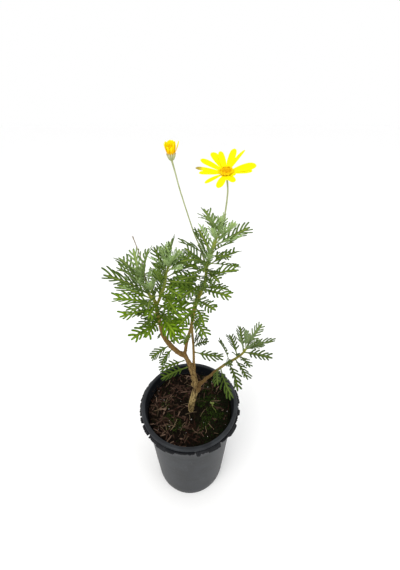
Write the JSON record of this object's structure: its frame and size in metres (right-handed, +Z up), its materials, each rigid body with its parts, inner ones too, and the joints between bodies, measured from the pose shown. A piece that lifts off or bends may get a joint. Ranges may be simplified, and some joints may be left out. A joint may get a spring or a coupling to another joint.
{
  "type": "potted gray-leaved euryops",
  "caption": "Small forked shrub with felted, lobed grey-green leaves, an open yellow daisy head and a half-open one, in a round black nursery pot of soil.",
  "frame": {"origin": "centre of the pot's flat base, on the surface that it stands on", "axes": "+Z up the pot and plant; -Y the front, as pictured; +X to the viewer's right, towards the low shoot"},
  "size_m": [0.1693, 0.1288, 0.441],
  "materials": {
    "black_plastic": "matte black moulded plastic, torn at its skirt",
    "potting_soil": "dark damp potting mix with bark, fibres and perlite",
    "bark": "corky tan bark, red-brown on the branches",
    "felted_foliage": "grey felt over green, greener on old leaves",
    "stalk_green": "pale olive, lightly felted",
    "ray_yellow": "bright yellow petal with fine grooves",
    "disc_orange": "orange-yellow florets",
    "dry_brown": "dry greyish-brown stalk"
  },
  "bodies": {
    "root": {"pot": "black_plastic", "soil": "potting_soil", "woody_stem": "bark", "left_shoot": "felted_foliage", "right_shoot": "felted_foliage", "back_shoot": "felted_foliage", "low_right_shoot": "felted_foliage", "bark_leaf_upper": "felted_foliage", "bark_leaf_middle": "felted_foliage", "bark_leaf_low": "felted_foliage", "flower_stalk": "stalk_green", "bud_stalk": "stalk_green", "dry_stalk": "dry_brown", "flower_rays": "ray_yellow", "bud_rays": "ray_yellow", "flower_disc": "disc_orange", "bud_disc": "disc_orange"}
  },
  "joints": []
}
